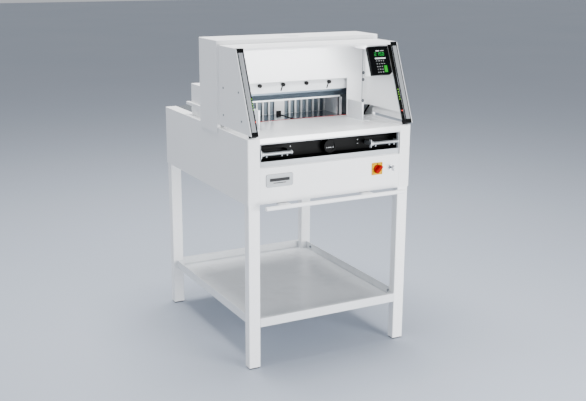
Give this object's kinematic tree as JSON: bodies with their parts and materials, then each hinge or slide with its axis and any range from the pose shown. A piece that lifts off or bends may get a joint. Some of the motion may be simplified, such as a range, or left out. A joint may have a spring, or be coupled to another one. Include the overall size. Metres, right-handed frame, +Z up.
{
  "type": "electric stack paper cutter",
  "caption": "Floor-standing electric guillotine for stacks of paper, with a hooded light-guarded work table, clamp, swing-cut blade, back gauge and a four-legged stand with a tray.",
  "frame": {"origin": "on the floor, at the centre of the machine's outer box", "axes": "+X to the operator's right, +Y from the operator to the back of the machine, +Z up"},
  "size_m": [0.765, 0.9586, 1.314],
  "materials": {
    "black_rubber": "matt",
    "grey_paint": "satin light grey",
    "white_paint": "fine-textured white powder coat",
    "machine_grey": "grey machine paint",
    "light_metal": "brushed, anodised",
    "table_metal": "ground and polished",
    "black_plastic": "moulded, satin",
    "red_plastic": "moulded",
    "yellow_plastic": "moulded",
    "carrier_grey": "satin light grey",
    "blade_steel": "ground",
    "clamp_metal": "ground",
    "bright_steel": "turned",
    "black_steel": "black",
    "belt_rubber": "matt",
    "panel_black": "membrane panel, satin",
    "badge_silver": "satin foil"
  },
  "bodies": {
    "machine": {"foot_pads": "black_rubber", "legs": "grey_paint", "shelf_tray": "grey_paint", "base_plate": "machine_grey", "side_panel_left": "white_paint", "side_panel_right": "white_paint", "front_panel": "white_paint", "rear_panel": "white_paint", "cable_gland": "black_plastic", "tool_recess": "black_plastic", "front_table": "table_metal", "rear_table": "table_metal", "cutting_stick": "red_plastic", "side_frame_left": "machine_grey", "side_frame_right": "machine_grey", "cross_beam": "machine_grey", "guide_pins": "bright_steel", "blade_gearmotor": "machine_grey", "clamp_motor": "black_steel", "drive_belts": "belt_rubber", "gauge_motor": "black_steel", "paper_guides": "light_metal", "upper_housing": "white_paint", "top_plug": "white_paint", "hood": "white_paint", "cheek_left": "white_paint", "cheek_right": "white_paint", "liner_left": "white_paint", "liner_right": "white_paint", "front_cover": "white_paint", "light_bar_left": "light_metal", "light_bar_right": "light_metal", "light_bar_caps": "black_plastic", "control_panel": "panel_black", "panel_pod": "white_paint", "lever_brackets": "black_steel", "badge_plate": "badge_silver", "switch_plate": "yellow_plastic", "key_lock": "bright_steel", "rear_cover": "white_paint", "electronics_box": "machine_grey", "cable_conduit": "black_plastic", "screws": "bright_steel"},
    "blade": {"blade_carrier": "carrier_grey", "blade": "blade_steel", "blade_bolts": "black_steel", "pull_rod": "bright_steel"},
    "crank": {"crank": "bright_steel"},
    "clamp": {"clamp_beam": "clamp_metal"},
    "clamp_screw_left": {"clamp_spindle_left": "bright_steel"},
    "clamp_screw_right": {"clamp_spindle_right": "bright_steel"},
    "gauge": {"back_gauge": "clamp_metal", "gauge_carriage": "black_steel"},
    "gauge_screw": {"gauge_spindle": "bright_steel"},
    "hand_wheel": {"hand_wheel": "black_plastic"},
    "cut_lever_left": {"cut_lever_left": "light_metal"},
    "cut_lever_right": {"cut_lever_right": "light_metal"},
    "knee_bar": {"knee_bar": "light_metal"},
    "main_switch": {"main_switch": "red_plastic"},
    "lock_key": {"lock_key": "bright_steel"}
  },
  "joints": [
    {"name": "blade_stroke", "type": "slide", "parent": "machine", "child": "blade", "axis": [-0.3137, 0, -0.9495], "range_m": [0, 0.09563]},
    {"name": "crank_turn", "type": "hinge", "parent": "machine", "child": "crank", "pos_m": [0.225, -0.07775, 0.825], "axis": [0, -1, 0], "range_deg": [0, 180.5]},
    {"name": "clamp_travel", "type": "slide", "parent": "machine", "child": "clamp", "axis": [0, 0, -1], "range_m": [0, 0.081]},
    {"name": "clamp_screw_left_turn", "type": "hinge", "parent": "machine", "child": "clamp_screw_left", "pos_m": [-0.19, -0.05725, 1.15], "axis": [0, 0, 1], "continuous": true},
    {"name": "clamp_screw_right_turn", "type": "hinge", "parent": "machine", "child": "clamp_screw_right", "pos_m": [0.19, -0.05725, 1.15], "axis": [0, 0, 1], "continuous": true},
    {"name": "gauge_travel", "type": "slide", "parent": "machine", "child": "gauge", "axis": [0, 1, 0], "range_m": [-0.085, 0.318]},
    {"name": "gauge_screw_turn", "type": "hinge", "parent": "machine", "child": "gauge_screw", "pos_m": [0, 0.17925, 0.903], "axis": [0, 1, 0], "continuous": true},
    {"name": "wheel_turn", "type": "hinge", "parent": "machine", "child": "hand_wheel", "pos_m": [0.01, -0.37475, 0.89425], "axis": [0, 1, 0], "continuous": true},
    {"name": "lever_left_press", "type": "hinge", "parent": "machine", "child": "cut_lever_left", "pos_m": [-0.2515, -0.37575, 0.89425], "axis": [1, 0, 0], "range_deg": [0, 12], "stiffness_Nm_per_rad": 3, "springref_deg": -8.59},
    {"name": "lever_right_press", "type": "hinge", "parent": "machine", "child": "cut_lever_right", "pos_m": [0.2515, -0.37575, 0.89425], "axis": [1, 0, 0], "range_deg": [0, 12], "stiffness_Nm_per_rad": 3, "springref_deg": -8.59},
    {"name": "knee_bar_press", "type": "hinge", "parent": "machine", "child": "knee_bar", "pos_m": [0, -0.34075, 0.706], "axis": [1, 0, 0], "range_deg": [0, 10], "stiffness_Nm_per_rad": 20, "springref_deg": -17.19},
    {"name": "switch_turn", "type": "hinge", "parent": "machine", "child": "main_switch", "pos_m": [0.215, -0.43075, 0.787], "axis": [0, 1, 0], "range_deg": [0, 90]},
    {"name": "key_turn", "type": "hinge", "parent": "machine", "child": "lock_key", "pos_m": [0.281, -0.43075, 0.787], "axis": [0, 1, 0], "range_deg": [0, 90]}
  ],
  "couplings": [
    {"joint": "crank_turn", "follows": "blade_stroke", "rad_per_m": 32.852},
    {"joint": "clamp_screw_left_turn", "follows": "clamp_travel", "rad_per_m": 628.32},
    {"joint": "clamp_screw_right_turn", "follows": "clamp_travel", "rad_per_m": 628.32},
    {"joint": "gauge_screw_turn", "follows": "gauge_travel", "rad_per_m": 628.32}
  ]
}
